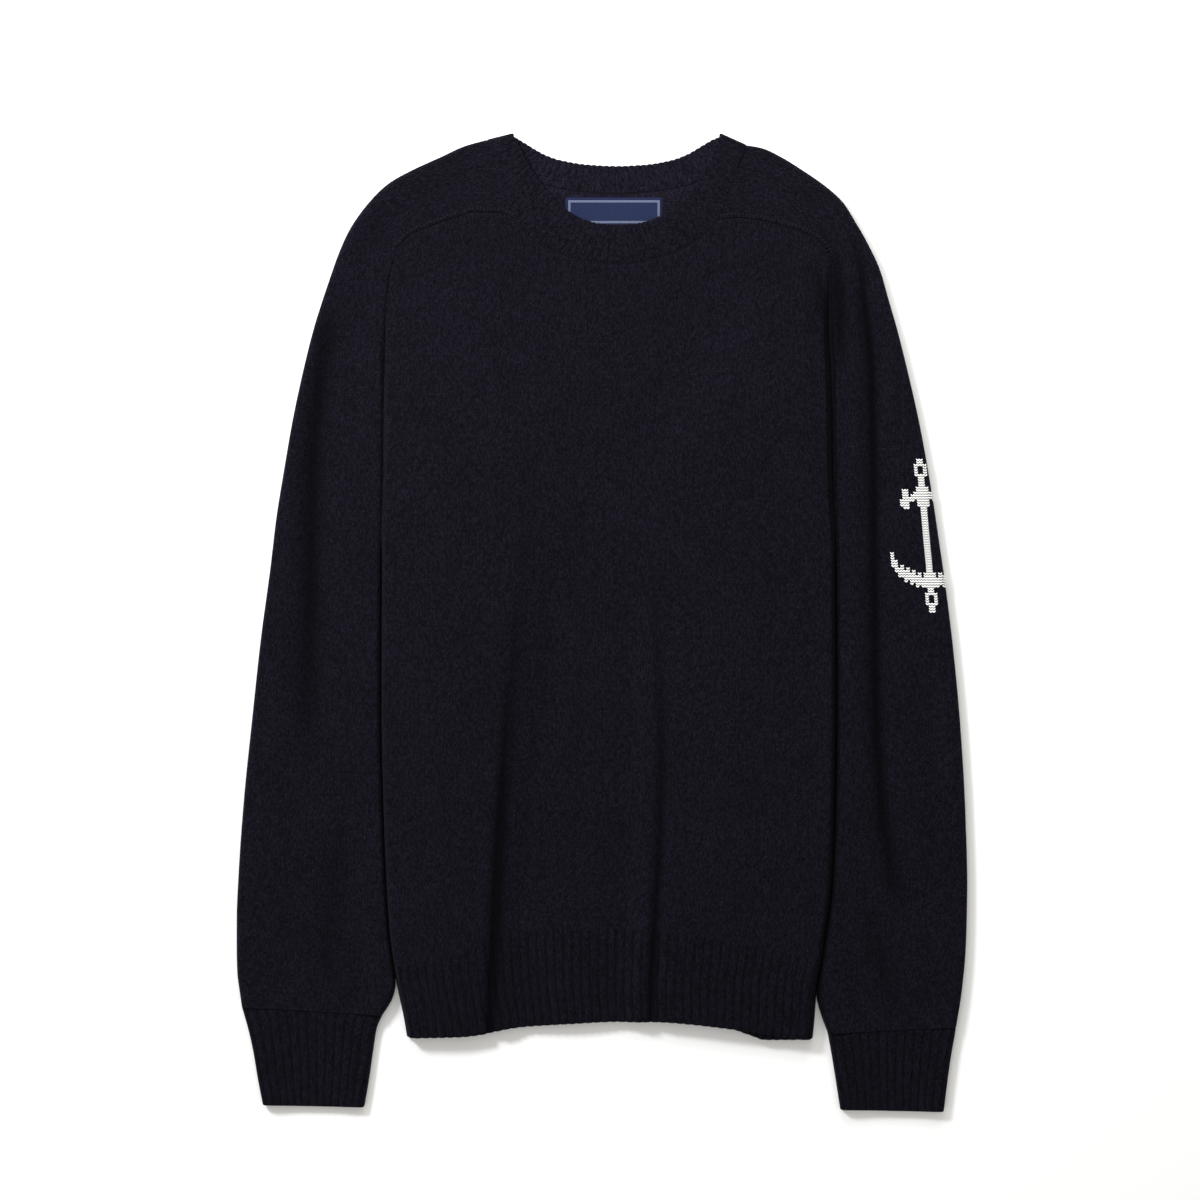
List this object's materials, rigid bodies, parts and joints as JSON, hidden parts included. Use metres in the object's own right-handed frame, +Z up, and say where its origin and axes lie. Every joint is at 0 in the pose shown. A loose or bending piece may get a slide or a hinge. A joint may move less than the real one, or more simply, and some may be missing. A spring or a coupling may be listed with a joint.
{
  "type": "guernsey fisherman sweater",
  "caption": "Long-sleeved crew-neck wool sweater with saddle shoulders, ribbed collar, cuffs and hem, laid flat with its sides tucked under.",
  "frame": {"origin": "under the middle of the laid-out sweater's outline, on the surface that it rests on", "axes": "+X to the wearer's left sleeve, +Y from the hem to the neck, +Z up out of the front"},
  "size_m": [0.5476, 0.734, 0.0112],
  "materials": {
    "navy_knit": "matt stocking-stitch wool with a slight fuzz",
    "navy_rib": "matt ribbed wool",
    "label_weave": "smooth woven label with a lighter border, bare",
    "white_knit": "off-white wool of the knitted-in anchor, drawn in the visual model only"
  },
  "bodies": {
    "root": {"front": "navy_knit", "back": "navy_knit", "hem_rib_front": "navy_rib", "hem_rib_back": "navy_rib", "tucked_side_right": "navy_knit", "tucked_side_left": "navy_knit", "sleeve_right": "navy_knit", "sleeve_left": "navy_knit", "cuff_right": "navy_rib", "cuff_left": "navy_rib", "collar": "navy_rib", "neck_label": "label_weave"}
  },
  "joints": []
}
